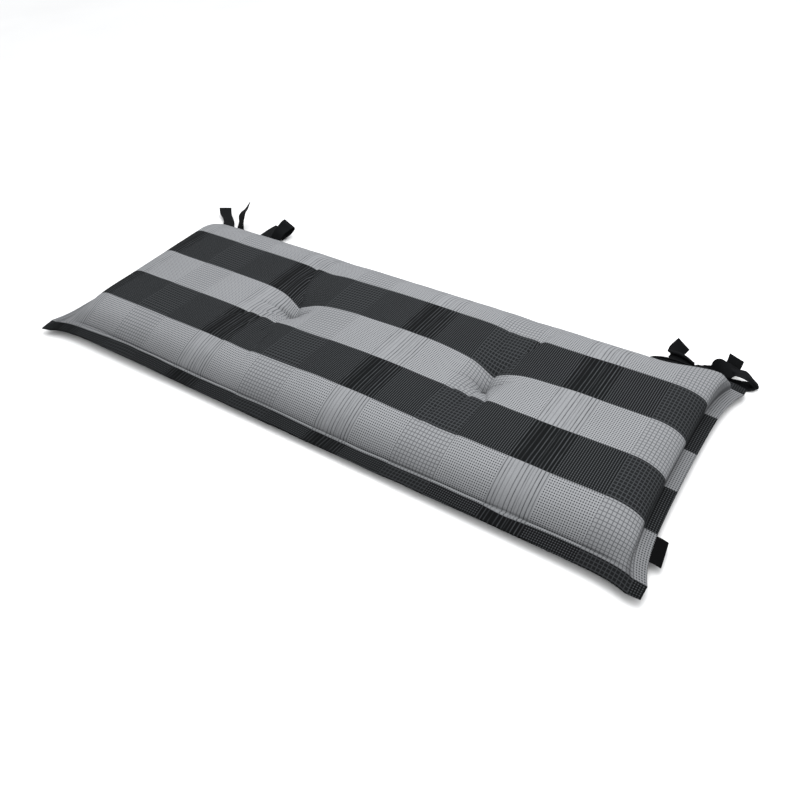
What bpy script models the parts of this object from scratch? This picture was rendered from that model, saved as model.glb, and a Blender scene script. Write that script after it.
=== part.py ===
"""Bench cushion: one filled pad with a flat hem all round, two stitched tufts, tape ties and a bare side label.

Metres. X runs along the length, Y from the front edge to the back edge, Z up from the flat underside, and the
origin is the centre of the underside. A cloth point is named by (u, v), its place on the cover laid flat.
"""

import math

import bmesh
import bpy
from mathutils import Vector

# The cover, as it was cut and sewn
SEAM_HALF_LENGTH = 0.574
SEAM_HALF_DEPTH = 0.210
END_HEM = 0.0205
SIDE_HEM = 0.0225
HEM_THICKNESS = 0.0032
HEM_DROOP = 0.0025
BACK_HEM_DROOP = 0.0075

# The filling, and how far it draws the seams in
CROWN_HEIGHT = 0.0563
CROWN_FALL_TO_ENDS = 0.05
CROWN_RISE_TO_BACK = 0.02
SEAM_HEIGHT = 0.0183
EDGE_RISE = 0.045
END = {"rounding": 0.044, "draw": 0.80, "fade": 0.0417}
FRONT = {"rounding": 0.078, "draw": 0.47, "fade": 0.0266}
BACK = {"rounding": 0.032, "draw": 0.0, "fade": 0.0266}

# The front seam stands a little higher towards the left, and lower right of the middle
SEAM_WAVE_REACH = 0.030
SEAM_WAVES = [
    {"at": -0.44, "half_width": 0.15, "lift": 0.0045},
    {"at": 0.06, "half_width": 0.20, "lift": -0.0055},
]

# The hem's corners stick out past the drawn-in sides, as ears
EAR_REACH = 0.030
EARS = [
    {"end": -1, "side": -1, "along": 0.001, "across": -0.0065, "lift": -0.0030},
    {"end": 1, "side": -1, "along": -0.001, "across": 0.0010, "lift": 0.0},
    {"end": 1, "side": 1, "along": 0.001, "across": -0.0115, "lift": -0.0010},
    {"end": -1, "side": 1, "along": 0.006, "across": -0.0080, "lift": -0.0010},
]

# The stitched tufts, each with a soft trough from the front seam to the back one
TUFT_DEPTH = 0.027
TUFT_REACH = 0.035
TROUGH_DEPTH = 0.0035
TROUGH_HALF_WIDTH = 0.026
TUFTS = [{"x": -0.164, "y": 0.006}, {"x": 0.243, "y": 0.002}]

# The underside lies flat, and its flank curls up to the seam
REST_INSET = 0.034
FLANK = [
    {"inset": 0.004, "height": 0.62},
    {"inset": 0.011, "height": 0.28},
    {"inset": 0.021, "height": 0.07},
]
CELLS_ALONG = 66
CELLS_ACROSS = 22
ON_THE_GROUND = 1e-6

# What is sewn into the hem
SEAT_GAP = 0.0005
LABEL_FRONT = -0.172
LABEL_BACK = -0.128
LABEL_REACH = 0.0165
LABEL_THICKNESS = 0.0024
LABEL_DROOP = 0.0030
LABEL_ROWS = 6
LABEL_NOSE_STEPS = 6

TAPE_WIDTH = 0.029
TAPE_THICKNESS = 0.0012
TAPE_STEPS = 5

KNOT_CENTRE = (0.517, 0.2425, 0.0058)
KNOT_HALF_SIZE = (0.012, 0.009, 0.0048)
KNOT_BEVEL = 0.0035

# Each tape's rows: a place on its centre line, the way its width runs there, and the share of its width it keeps.
# A first row with no y and z starts at the cut edge of the back hem.
TIES = {
    "tie_left_flat": [
        {"x": -0.5450, "y": None, "z": None, "across": (1.0, 0.0, 0.0), "share": 1.0},
        {"x": -0.5597, "y": 0.2476, "z": 0.0080, "across": (0.98, 0.18, 0.0), "share": 1.0},
        {"x": -0.5797, "y": 0.2628, "z": 0.0110, "across": (0.94, 0.33, 0.0), "share": 1.0},
        {"x": -0.5955, "y": 0.2792, "z": 0.0160, "across": (0.90, 0.44, 0.0), "share": 1.0},
    ],
    "tie_left_twisted": [
        {"x": -0.5070, "y": None, "z": None, "across": (1.0, 0.0, 0.0), "share": 0.7},
        {"x": -0.5104, "y": 0.2410, "z": 0.0182, "across": (0.91, -0.32, 0.27), "share": 0.9},
        {"x": -0.5133, "y": 0.2485, "z": 0.0281, "across": (0.92, -0.30, 0.24), "share": 1.0},
        {"x": -0.5123, "y": 0.2560, "z": 0.0363, "across": (0.87, -0.34, 0.34), "share": 1.0},
        {"x": -0.5085, "y": 0.2635, "z": 0.0420, "across": (0.80, -0.46, 0.40), "share": 0.98},
        {"x": -0.5058, "y": 0.2750, "z": 0.0533, "across": (0.70, -0.49, 0.52), "share": 0.98},
    ],
    "tie_left_straight": [
        {"x": -0.4400, "y": None, "z": None, "across": (1.0, 0.0, 0.0), "share": 1.0},
        {"x": -0.4362, "y": 0.2625, "z": 0.0060, "across": (1.00, -0.06, 0.0), "share": 1.0},
        {"x": -0.4362, "y": 0.2835, "z": 0.0040, "across": (0.98, -0.19, 0.0), "share": 1.0},
    ],
    "tie_left_loop": [
        {"x": -0.4080, "y": None, "z": None, "across": (1.0, 0.0, 0.0), "share": 1.0},
        {"x": -0.4011, "y": 0.2430, "z": 0.0200, "across": (0.98, -0.03, -0.19), "share": 0.85},
        {"x": -0.3947, "y": 0.2557, "z": 0.0290, "across": (0.91, 0.03, -0.40), "share": 0.90},
        {"x": -0.3905, "y": 0.2638, "z": 0.0335, "across": (0.88, 0.06, -0.47), "share": 0.95},
        {"x": -0.3910, "y": 0.2712, "z": 0.0315, "across": (0.89, -0.03, -0.45), "share": 1.0},
        {"x": -0.3934, "y": 0.2726, "z": 0.0240, "across": (0.90, -0.08, -0.42), "share": 1.0},
        {"x": -0.4009, "y": 0.2645, "z": 0.0120, "across": (0.95, -0.17, -0.25), "share": 1.0},
        {"x": -0.4098, "y": 0.2462, "z": 0.0028, "across": (1.00, -0.10, 0.0), "share": 1.0},
    ],
    "tie_right_root": [
        {"x": 0.4420, "y": None, "z": None, "across": (1.0, 0.0, 0.0), "share": 0.9},
        {"x": 0.4480, "y": 0.2385, "z": 0.0060, "across": (0.90, -0.10, -0.20), "share": 0.6},
        {"x": 0.4620, "y": 0.2395, "z": 0.0065, "across": (0.35, 0.10, -0.85), "share": 0.36},
        {"x": 0.4800, "y": 0.2398, "z": 0.0065, "across": (0.0, -0.20, -0.95), "share": 0.33},
        {"x": 0.5045, "y": 0.2390, "z": 0.0058, "across": (0.0, -0.20, -0.95), "share": 0.28},
    ],
    "tie_right_curl": [
        {"x": 0.5045, "y": 0.2465, "z": 0.0075, "across": (0.0, -0.30, -0.95), "share": 0.33},
        {"x": 0.4896, "y": 0.2475, "z": 0.0111, "across": (0.01, -0.32, -0.95), "share": 0.54},
        {"x": 0.4771, "y": 0.2485, "z": 0.0130, "across": (0.02, -0.28, -0.96), "share": 0.61},
        {"x": 0.4658, "y": 0.2495, "z": 0.0127, "across": (0.11, -0.31, -0.94), "share": 0.56},
        {"x": 0.4605, "y": 0.2530, "z": 0.0118, "across": (0.54, -0.64, -0.54), "share": 0.59},
        {"x": 0.4648, "y": 0.2570, "z": 0.0156, "across": (0.71, -0.59, -0.39), "share": 0.82},
        {"x": 0.4718, "y": 0.2610, "z": 0.0214, "across": (0.79, -0.49, -0.38), "share": 1.0},
        {"x": 0.4774, "y": 0.2650, "z": 0.0305, "across": (0.84, -0.49, -0.23), "share": 1.0},
    ],
    "tie_right_tail": [
        {"x": 0.5200, "y": 0.2522, "z": 0.0075, "across": (1.0, 0.0, 0.0), "share": 0.5},
        {"x": 0.5360, "y": 0.2590, "z": 0.0050, "across": (0.80, -0.60, 0.0), "share": 0.6},
        {"x": 0.5530, "y": 0.2590, "z": 0.0065, "across": (0.90, -0.30, -0.20), "share": 0.75},
        {"x": 0.5601, "y": 0.2585, "z": 0.0135, "across": (0.94, 0.0, -0.35), "share": 0.8},
        {"x": 0.5621, "y": 0.2625, "z": 0.0227, "across": (0.93, 0.0, -0.38), "share": 0.88},
        {"x": 0.5628, "y": 0.2680, "z": 0.0323, "across": (0.94, 0.0, -0.34), "share": 0.9},
    ],
    "tie_right_loop": [
        {"x": 0.5297, "y": 0.2430, "z": 0.0095, "across": (0.0, -0.30, -0.90), "share": 0.33},
        {"x": 0.5359, "y": 0.2430, "z": 0.0176, "across": (0.28, -0.33, -0.90), "share": 0.85},
        {"x": 0.5470, "y": 0.2440, "z": 0.0225, "across": (0.39, -0.41, -0.82), "share": 1.0},
        {"x": 0.5603, "y": 0.2465, "z": 0.0190, "across": (0.42, -0.59, -0.69), "share": 0.87},
        {"x": 0.5719, "y": 0.2470, "z": 0.0197, "across": (0.01, -1.0, 0.01), "share": 0.69},
        {"x": 0.5863, "y": 0.2465, "z": 0.0189, "across": (0.17, -0.99, 0.03), "share": 0.77},
        {"x": 0.5975, "y": 0.2450, "z": 0.0128, "across": (0.01, -1.0, 0.10), "share": 0.55},
        {"x": 0.6066, "y": 0.2435, "z": 0.0060, "across": (-0.15, -0.99, 0.0), "share": 0.4},
        {"x": 0.6021, "y": 0.2435, "z": 0.0020, "across": (0.18, -0.98, 0.0), "share": 0.58},
        {"x": 0.5887, "y": 0.2419, "z": 0.0017, "across": (0.10, -1.0, 0.0), "share": 0.85},
        {"x": 0.5732, "y": 0.2400, "z": 0.0017, "across": (0.03, -1.0, 0.0), "share": 0.5},
        {"x": 0.5547, "y": 0.2385, "z": 0.0020, "across": (0.0, -1.0, 0.0), "share": 0.4},
        {"x": 0.5297, "y": 0.2375, "z": 0.0024, "across": (0.0, -1.0, 0.0), "share": 0.25},
    ],
}


def edge_profile(inside, rounding):
    """How high the cloth stands, 0 to 1, and how far it is drawn in, at a cloth distance inside the seam."""
    span = math.pi / 2 * math.sqrt((rounding**2 + EDGE_RISE**2) / 2)
    inside = min(max(inside, 0.0), span)
    angle = inside / span * math.pi / 2
    drawn = span - rounding - inside + rounding * (1 - math.cos(angle))
    return math.sin(angle), drawn


def fade_in(distance, reach):
    return 1 - math.exp(-max(distance, 0.0) / reach)


def cover_point(u, v):
    """Where the cloth point (u, v) of the upper panel and the hem's upper face lies."""
    side = BACK if v > 0 else FRONT
    inside_end = SEAM_HALF_LENGTH - abs(u)
    inside_side = SEAM_HALF_DEPTH - abs(v)
    end_height, end_drawn = edge_profile(inside_end, END["rounding"])
    side_height, side_drawn = edge_profile(inside_side, side["rounding"])
    x = math.copysign(abs(u) - END["draw"] * end_drawn * fade_in(inside_side, END["fade"]), u)
    y = math.copysign(abs(v) - side["draw"] * side_drawn * fade_in(inside_end, side["fade"]), v)

    filled = end_height * side_height
    crown = 1 - CROWN_FALL_TO_ENDS * (u / SEAM_HALF_LENGTH) ** 2 + CROWN_RISE_TO_BACK * v / SEAM_HALF_DEPTH
    z = SEAM_HEIGHT + (CROWN_HEIGHT - SEAM_HEIGHT) * filled * crown
    z -= HEM_DROOP * max(-inside_end / END_HEM, -inside_side / SIDE_HEM, 0.0)
    z -= BACK_HEM_DROOP * max((v - SEAM_HALF_DEPTH) / SIDE_HEM, 0.0)
    from_front_seam = abs(v + SEAM_HALF_DEPTH)
    for wave in SEAM_WAVES:
        along = math.exp(-(((u - wave["at"]) / wave["half_width"]) ** 2))
        z += wave["lift"] * along * math.exp(-from_front_seam / SEAM_WAVE_REACH)
    for ear in EARS:
        corner_u = ear["end"] * (SEAM_HALF_LENGTH + END_HEM)
        corner_v = ear["side"] * (SEAM_HALF_DEPTH + SIDE_HEM)
        near = math.exp(-math.hypot(u - corner_u, v - corner_v) / EAR_REACH)
        x += ear["along"] * near
        y += ear["across"] * near
        z += ear["lift"] * near
    for tuft in TUFTS:
        z -= filled * TROUGH_DEPTH * math.exp(-(((x - tuft["x"]) / TROUGH_HALF_WIDTH) ** 2))
        z -= filled * TUFT_DEPTH * math.exp(-math.hypot(x - tuft["x"], y - tuft["y"]) / TUFT_REACH)
    return Vector((x, y, z))


def flank_height(inside):
    """The share of the seam's height that the underside still has at a cloth distance inside the seam."""
    steps = [(0.0, 1.0)] + [(row["inset"], row["height"]) for row in FLANK] + [(REST_INSET, 0.0)]
    for (near, high), (far, low) in zip(steps, steps[1:]):
        if inside <= far:
            return high + (low - high) * (inside - near) / (far - near)
    return 0.0


def underside_point(u, v):
    """Where the cloth point (u, v) of the lower panel and the hem's lower face lies."""
    point = cover_point(u, v)
    inside = min(SEAM_HALF_LENGTH - abs(u), SEAM_HALF_DEPTH - abs(v))
    if inside <= 0:
        point.z -= HEM_THICKNESS
        return point
    slide = SEAM_HALF_LENGTH - abs(u) - inside, SEAM_HALF_DEPTH - abs(v) - inside
    seam_u = math.copysign(SEAM_HALF_LENGTH - slide[0], u)
    seam_v = math.copysign(SEAM_HALF_DEPTH - slide[1], v)
    seam_height = cover_point(seam_u, seam_v).z - HEM_THICKNESS
    point.z = seam_height * flank_height(inside)
    return point


def stations(seam_half, hem, cells):
    """Cloth lines from one hem edge to the other: close together at the seams, even between them."""
    rest = seam_half - REST_INSET
    low = [-seam_half - hem, -seam_half] + [row["inset"] - seam_half for row in FLANK]
    middle = [rest * (2 * i / cells - 1) for i in range(cells + 1)]
    return low + middle + [-value for value in reversed(low)]


def make_cushion(material):
    us = stations(SEAM_HALF_LENGTH, END_HEM, CELLS_ALONG)
    vs = stations(SEAM_HALF_DEPTH, SIDE_HEM, CELLS_ACROSS)
    bm = bmesh.new()
    top = [[bm.verts.new(cover_point(u, v)) for v in vs] for u in us]
    bottom = {}

    def under(i, j):
        if (i, j) not in bottom:
            bottom[i, j] = bm.verts.new(underside_point(us[i], vs[j]))
        return bottom[i, j]

    border_cells = len(FLANK) + 2
    last_u, last_v = len(us) - 1, len(vs) - 1
    for i in range(last_u):
        for j in range(last_v):
            bm.faces.new((top[i][j], top[i + 1][j], top[i + 1][j + 1], top[i][j + 1]))
            in_middle_u = border_cells <= i < last_u - border_cells
            in_middle_v = border_cells <= j < last_v - border_cells
            if not (in_middle_u and in_middle_v):
                bm.faces.new((under(i, j), under(i, j + 1), under(i + 1, j + 1), under(i + 1, j)))
    rest_edges = [e for e in bm.edges if e.is_boundary and max(p.co.z for p in e.verts) < ON_THE_GROUND]
    bmesh.ops.holes_fill(bm, edges=rest_edges)

    ring = [(i, 0) for i in range(last_u)] + [(last_u, j) for j in range(last_v)]
    ring += [(i, last_v) for i in range(last_u, 0, -1)] + [(0, j) for j in range(last_v, 0, -1)]
    for (i, j), (k, m) in zip(ring, ring[1:] + ring[:1]):
        bm.faces.new((under(i, j), under(k, m), top[k][m], top[i][j]))
    return finish("cushion", bm, material)


def hem_edge(u, v):
    """The middle of the hem's cut edge, at a cloth point on it."""
    return cover_point(u, v) - Vector((0, 0, HEM_THICKNESS / 2))


def back_edge(x):
    """The middle of the back hem's cut edge at x."""
    low, high = -SEAM_HALF_LENGTH, SEAM_HALF_LENGTH
    for _ in range(40):
        middle = (low + high) / 2
        if hem_edge(middle, SEAM_HALF_DEPTH + SIDE_HEM).x < x:
            low = middle
        else:
            high = middle
    return hem_edge(low, SEAM_HALF_DEPTH + SIDE_HEM)


def strip(bm, sections):
    """A closed strip through four-cornered sections."""
    rings = [[bm.verts.new(corner) for corner in section] for section in sections]
    for here, there in zip(rings, rings[1:]):
        for k in range(4):
            bm.faces.new((here[k], here[(k + 1) % 4], there[(k + 1) % 4], there[k]))
    bm.faces.new(list(reversed(rings[0])))
    bm.faces.new(rings[-1])


def smooth_between(before, start, end, after, t):
    """A Catmull-Rom curve from start to end."""
    return 0.5 * (
        2 * start
        + (end - before) * t
        + (2 * before - 5 * start + 4 * end - after) * t**2
        + (3 * start - before - 3 * end + after) * t**3
    )


def seated(rows):
    """The tape's rows as centre, half-width vector; a root in the hem starts square to the hem's edge."""
    places = []
    for row in rows:
        half = Vector(row["across"]).normalized() * TAPE_WIDTH / 2 * row["share"]
        if row["y"] is None:
            low, high = back_edge(row["x"] - half.x), back_edge(row["x"] + half.x)
            places.append(((low + high) / 2 + Vector((0, SEAT_GAP, 0)), (high - low) / 2))
        else:
            places.append((Vector((row["x"], row["y"], row["z"])), half))
    return places


def make_tape(name, rows, material):
    places = seated(rows)
    centres = [place[0] for place in places]
    halves = [place[1] for place in places]
    before = 2 * centres[0] - centres[1]
    after = 2 * centres[-1] - centres[-2]
    line = [before] + centres + [after]
    widths = [halves[0]] + halves + [halves[-1]]
    points = []
    for k in range(1, len(line) - 2):
        for step in range(TAPE_STEPS):
            t = step / TAPE_STEPS
            centre = smooth_between(*line[k - 1 : k + 3], t)
            points.append((centre, smooth_between(*widths[k - 1 : k + 3], t)))
    points.append((centres[-1], halves[-1]))

    sections = []
    for k, (centre, half) in enumerate(points):
        ahead = points[min(k + 1, len(points) - 1)][0] - points[max(k - 1, 0)][0]
        if k == 0 and rows[0]["y"] is None:
            ahead = Vector((0, 1, 0))
        normal = ahead.cross(half).normalized() * TAPE_THICKNESS / 2
        left, right = centre - half, centre + half
        sections.append((left - normal, right - normal, right + normal, left + normal))
    bm = bmesh.new()
    strip(bm, sections)
    return finish(name, bm, material)


def make_label(material):
    """A short tape folded over outwards, its two cut ends sewn into the right hem."""
    radius = LABEL_THICKNESS / 2
    outline = [(0.0, -radius)]
    for step in range(LABEL_NOSE_STEPS + 1):
        angle = math.pi * (step / LABEL_NOSE_STEPS - 0.5)
        outline.append((LABEL_REACH - radius + radius * math.cos(angle), radius * math.sin(angle)))
    outline.append((0.0, radius))
    bm = bmesh.new()
    rings = []
    for row in range(LABEL_ROWS + 1):
        v = LABEL_FRONT + (LABEL_BACK - LABEL_FRONT) * row / LABEL_ROWS
        root = hem_edge(SEAM_HALF_LENGTH + END_HEM, v) + Vector((SEAT_GAP, 0, 0))
        ring = []
        for out, up in outline:
            droop = LABEL_DROOP * (out / LABEL_REACH) ** 2
            ring.append(bm.verts.new(root + Vector((out, 0, up - droop))))
        rings.append(ring)
    for here, there in zip(rings, rings[1:]):
        for k in range(len(outline)):
            after = (k + 1) % len(outline)
            bm.faces.new((here[k], here[after], there[after], there[k]))
    bm.faces.new(rings[0])
    bm.faces.new(list(reversed(rings[-1])))
    return finish("label", bm, material)


def make_knot(material):
    bm = bmesh.new()
    bmesh.ops.create_cube(bm, size=2.0)
    bmesh.ops.scale(bm, vec=KNOT_HALF_SIZE, verts=bm.verts)
    bmesh.ops.translate(bm, vec=KNOT_CENTRE, verts=bm.verts)
    bmesh.ops.bevel(
        bm, geom=bm.edges[:], offset=KNOT_BEVEL, offset_type="OFFSET", segments=3, profile=0.5, affect="EDGES"
    )
    return finish("tie_knot", bm, material)


def finish(name, bm, material):
    """The mesh as an object of the scene, its faces pointing out."""
    bmesh.ops.recalc_face_normals(bm, faces=bm.faces[:])
    mesh = bpy.data.meshes.new(name)
    bm.to_mesh(mesh)
    bm.free()
    mesh.materials.append(material)
    mesh.shade_smooth()
    mesh.set_sharp_from_angle(angle=math.radians(50))
    obj = bpy.data.objects.new(name, mesh)
    bpy.context.scene.collection.objects.link(obj)
    return obj


def make_material(name, colour, roughness):
    material = bpy.data.materials.new(name)
    material.use_nodes = True
    shader = material.node_tree.nodes["Principled BSDF"]
    shader.inputs["Base Color"].default_value = (*colour, 1.0)
    shader.inputs["Roughness"].default_value = roughness
    shader.inputs["Metallic"].default_value = 0.0
    return material


def main():
    for obj in list(bpy.data.objects):
        bpy.data.objects.remove(obj, do_unlink=True)
    striped_cloth = make_material("striped_cloth", (0.30, 0.31, 0.32), 0.85)
    tape_cloth = make_material("tape_cloth", (0.012, 0.013, 0.015), 0.70)
    label_cloth = make_material("label_cloth", (0.008, 0.008, 0.009), 0.55)
    make_cushion(striped_cloth)
    make_label(label_cloth)
    make_knot(tape_cloth)
    for name, rows in TIES.items():
        make_tape(name, rows, tape_cloth)


main()
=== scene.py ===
"""Looks of the bench cushion: woven striped cloth over a soft filling, tufts, tape ties and a bare label.

Metres. X runs along the length, Y from the front edge to the back edge, Z up. A cloth point is named by
(u, v), its place on the cover laid flat. The weave's own place there is kept in the UV map "cloth".
"""

import math

import bmesh
import bpy
import numpy as np
from mathutils import Matrix, Vector


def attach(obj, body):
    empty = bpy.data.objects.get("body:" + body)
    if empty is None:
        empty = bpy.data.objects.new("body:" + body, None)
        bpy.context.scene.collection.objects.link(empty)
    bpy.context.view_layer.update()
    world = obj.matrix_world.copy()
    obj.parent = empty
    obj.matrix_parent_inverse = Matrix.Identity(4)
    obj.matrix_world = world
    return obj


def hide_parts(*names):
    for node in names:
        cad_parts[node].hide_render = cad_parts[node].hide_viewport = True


# The cover, as it was cut and sewn
SEAM_HALF_LENGTH = 0.574
SEAM_HALF_DEPTH = 0.21
END_HEM = 0.0205
SIDE_HEM = 0.0225
HEM_THICKNESS = 0.0032
HEM_DROOP = 0.0025
BACK_HEM_DROOP = 0.0075

# The filling, and how far it draws the seams in
CROWN_HEIGHT = 0.0563
CROWN_FALL_TO_ENDS = 0.05
CROWN_RISE_TO_BACK = 0.02
SEAM_HEIGHT = 0.0183
EDGE_RISE = 0.045
END = {"rounding": 0.044, "draw": 0.8, "fade": 0.0417}
FRONT = {"rounding": 0.078, "draw": 0.47, "fade": 0.0266}
BACK = {"rounding": 0.032, "draw": 0.0, "fade": 0.0266}
REST_INSET = 0.034
FLANK_INSETS = (0.0, 0.004, 0.011, 0.021, REST_INSET)
FLANK_HEIGHTS = (1.0, 0.62, 0.28, 0.07, 0.0)

# The right end is fuller, and its back corner fuller still. Each pair is where that sets in.
END_FULLER = 0.3
FULL_END = (0.4, 0.5)
CORNER_FULLER = 0.76
FULL_CORNER_ALONG = (0.45, 0.555)
FULL_CORNER_ACROSS = (0.07, 0.18)

# The pad bulges over its seams, and the front seam keeps a thin raised fold of light cloth. Its ridge and its
# valley are each a place and a half width, in fold widths. The back hem droops less towards the right end.
END_BULGE = 0.0048
FRONT_BULGE = 0.0026
BACK_BULGE = 0.0055
BACK_RISE = 0.0022
BULGE_INSET = 0.014
BULGE_FADE = 0.06
FULL_CORNER_FADE_CUT = 0.04
FOLD_WIDTH = 0.0055
FOLD_STRETCH = 1.03
FOLD_END = 0.004
FOLD_HEIGHT = 0.0024
FOLD_RIDGE = (0.42, 0.36)
FOLD_CREASE = 0.0015
FOLD_VALLEY = (1.15, 0.28)
BACK_HEM_TUCK = 0.003
DROOP_EASE = 0.85
DROOP_EASE_ALONG = (0.53, 0.575)

# The front seam's fold wanders in and out, and the seam up and down
SEAM_SHIFTS = [
    {"at": -0.51, "reach": 0.085, "shift": 0.0052},
    {"at": 0.39, "reach": 0.05, "shift": 0.0028},
    {"at": -0.04, "reach": 0.09, "shift": -0.003},
]
SEAM_WANDER = 0.0006
SEAM_WANDER_SIZE = 0.035
SEAM_WAVE_REACH = 0.03
SEAM_WAVES = [
    {"at": -0.44, "reach": 0.15, "lift": 0.0045},
    {"at": 0.06, "reach": 0.2, "lift": -0.0055},
]

# The hem's corners stick out past the drawn-in sides, as ears
EAR_REACH = 0.03
EARS = [
    {"end": -1, "side": -1, "along": 0.001, "across": -0.0065, "lift": -0.003},
    {"end": 1, "side": -1, "along": -0.001, "across": 0.001, "lift": 0.0},
    {"end": 1, "side": 1, "along": 0.001, "across": -0.0115, "lift": -0.001},
    {"end": -1, "side": 1, "along": 0.03, "across": -0.018, "lift": -0.0008, "reach": 0.045},
]

# The stitched tufts: a dip, and the cloth round it drawn in to the stitch
TUFT_DEPTH = 0.027
TUFT_REACH = 0.035
TUFT_DRAW = 0.015
TUFT_DRAW_START = 0.014
TUFT_DRAW_FADE = 0.062
TUFT_DRAW_ALONG = 0.25
TUFT_DRAW_MOST = 0.93
TROUGH_DEPTH = 0.0035
TROUGH_HALF_WIDTH = 0.026
UNDER_DIMPLE = 0.0035
UNDER_DIMPLE_REACH = 0.012
TUFTS = [{"x": -0.163, "y": 0.012}, {"x": 0.242, "y": 0.009}]

# Creases in the cloth. Each follows its places and is deepest at the first. Its left or front side slopes
# more gently. The last pair is where a crease ends, in shares of its length.
CREASES_ALONG_Y = [
    {"x": (-0.163, -0.166, -0.179, -0.198, -0.205), "y": (0.012, 0.032, 0.07, 0.125, 0.195),
     "depth": 0.0095, "spread": 0.001},
    {"x": (-0.189, -0.2, -0.206), "y": (0.1, 0.13, 0.185), "depth": 0.0042},
    {"x": (-0.163, -0.169, -0.171), "y": (0.008, -0.04, -0.09), "depth": 0.0085},
    {"x": (-0.167, -0.198, -0.215), "y": (0.008, -0.04, -0.09), "depth": 0.007},
    {"x": (-0.172, -0.225, -0.26), "y": (0.008, -0.04, -0.08), "depth": 0.006},
    {"x": (-0.15, -0.144, -0.14), "y": (-0.07, -0.122, -0.18), "depth": 0.004},
    {"x": (-0.2, -0.208, -0.212), "y": (-0.07, -0.122, -0.18), "depth": 0.004},
    {"x": (0.242, 0.244, 0.26, 0.277, 0.293, 0.3), "y": (0.009, 0.03, 0.065, 0.12, 0.16, 0.2),
     "depth": 0.0105, "spread": 0.001},
    {"x": (0.27, 0.28, 0.292), "y": (0.1, 0.13, 0.18), "depth": 0.0048},
    {"x": (0.242, 0.236, 0.23), "y": (0.004, -0.036, -0.085), "depth": 0.008},
    {"x": (0.245, 0.266, 0.266, 0.274), "y": (0.004, -0.038, -0.124, -0.19), "depth": 0.0095},
    {"x": (0.238, 0.205, 0.19), "y": (0.004, -0.04, -0.08), "depth": 0.005},
    {"x": (0.232, 0.222, 0.214), "y": (0.08, 0.126, 0.18), "depth": 0.0042},
    {"x": (0.21, 0.204, 0.202), "y": (-0.09, -0.126, -0.17), "depth": 0.0032},
]
CREASES_ALONG_X = [
    {"x": (-0.163, -0.15, -0.13), "y": (0.012, 0.018, 0.024), "depth": 0.007},
    {"x": (-0.163, -0.195, -0.24), "y": (0.012, 0.004, -0.004), "depth": 0.005},
    {"x": (0.242, 0.26, 0.275), "y": (0.009, 0.015, 0.019), "depth": 0.0045},
    {"x": (0.242, 0.215, 0.18), "y": (0.009, 0.003, -0.004), "depth": 0.004},
]
CREASE_FADE = 0.092
CREASE_SLOW_SIDE = 0.0095
CREASE_QUICK_SIDE = 0.0026
CREASE_ROUNDING = 0.0008
CREASE_START = (-0.002, 0.006)
CREASE_END = (0.6, 1.3)

# Lumps of the filling, small puckers that the seams gather, and waves of the hem
NOISE_CELLS = 64
LUMP_HEIGHT = 0.0011
LUMP_SIZE = 0.085
PUCKER_HEIGHT = 0.0007
PUCKER_SIZE = 0.017
PUCKER_REACH = 0.022
PUCKER_STRETCH = 0.25
PUCKER_START = 0.02
HEM_WAVE_HEIGHT = 0.0008
HEM_WAVE_SIZE = 0.045
SEEDS = {"lumps": 3, "small lumps": 4, "puckers": 5, "hem": 6, "seam": 8}

# Mesh cells, closer together at the seams and round the tufts
STATION_SAMPLES = 4001
HEM_CELLS = 12
SEAM_ZONE = 0.012
SEAM_CELLS = 10
CELLS_ALONG = 344
CELLS_ACROSS = 112
FINE_ALONG = ((-0.27, -0.12), (0.19, 0.32))
FINE_ACROSS = ((-0.05, 0.03),)
FINER = 2.3
FINE_FADE = 0.01
FINE_UNDER_CELLS = 24
HEM_EDGE_ROUND = 0.0007

# The cloth's pattern: wide stripes along it, bands of fine lines and of squares across, and dots between.
# An edge pair is where a figure starts and is full, in cells from the cell's middle. A line is its place and
# strength.
STRIPE_EDGES = (0.042, 0.126, 0.21)
STRIPE_BLUR = 0.0005
BAND_BLUR = 0.0004
PATTERN_PERIOD = 0.31
LINES_CENTRE = 0.0765
LINES_HALF_WIDTH = 0.0342
SQUARES_CENTRE = 0.2285
SQUARES_HALF_WIDTH = 0.0385
DOT_PITCH = (0.00365, 0.00375)
DOT_EDGE = (0.41, 0.15)
DASH_EDGE_ALONG = (0.29, 0.08)
DASH_EDGE_ACROSS = (0.52, 0.3)
SQUARE_PITCH = (0.00585, 0.006)
SQUARE_EDGE = (0.33, 0.47)
LEFT_LINES = ((-0.032, 0.9), (-0.026, 0.75), (-0.0208, 0.55), (-0.014, 0.4), (-0.006, 0.75), (0.0005, 0.85))
RIGHT_LINES = ((0.0068, 0.65), (0.0103, 0.4), (0.0152, 0.5), (0.0203, 0.85), (0.0266, 1.0), (0.0321, 0.75))
LINE_HALF_WIDTH = 0.0013
STREAK_SCALE = 900.0
CRINKLE_SCALE = 420.0
STREAK_SCALE_ACROSS = 45.0
STREAKS_IN_LINES = (0.9, 0.55)
STREAKS_OVER_BAND = 0.24
LIGHT_THREAD = (0.217, 0.223, 0.233, 1)
LIGHT_FIGURE = (0.0262, 0.028, 0.031, 1)
DARK_THREAD = (0.0044, 0.0049, 0.0053, 1)
DARK_FIGURE = (0.057, 0.061, 0.0655, 1)
GRID_ON_LIGHT = 0.63
GRID_ON_DARK = 0.55
SQUARES_LIFT = 0.092
DASHES_ON_DARK = 0.8
LINES_SHARE = 0.92
LINES_BASE_ON_LIGHT = -0.01
LINES_BASE_ON_DARK = -0.16

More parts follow.
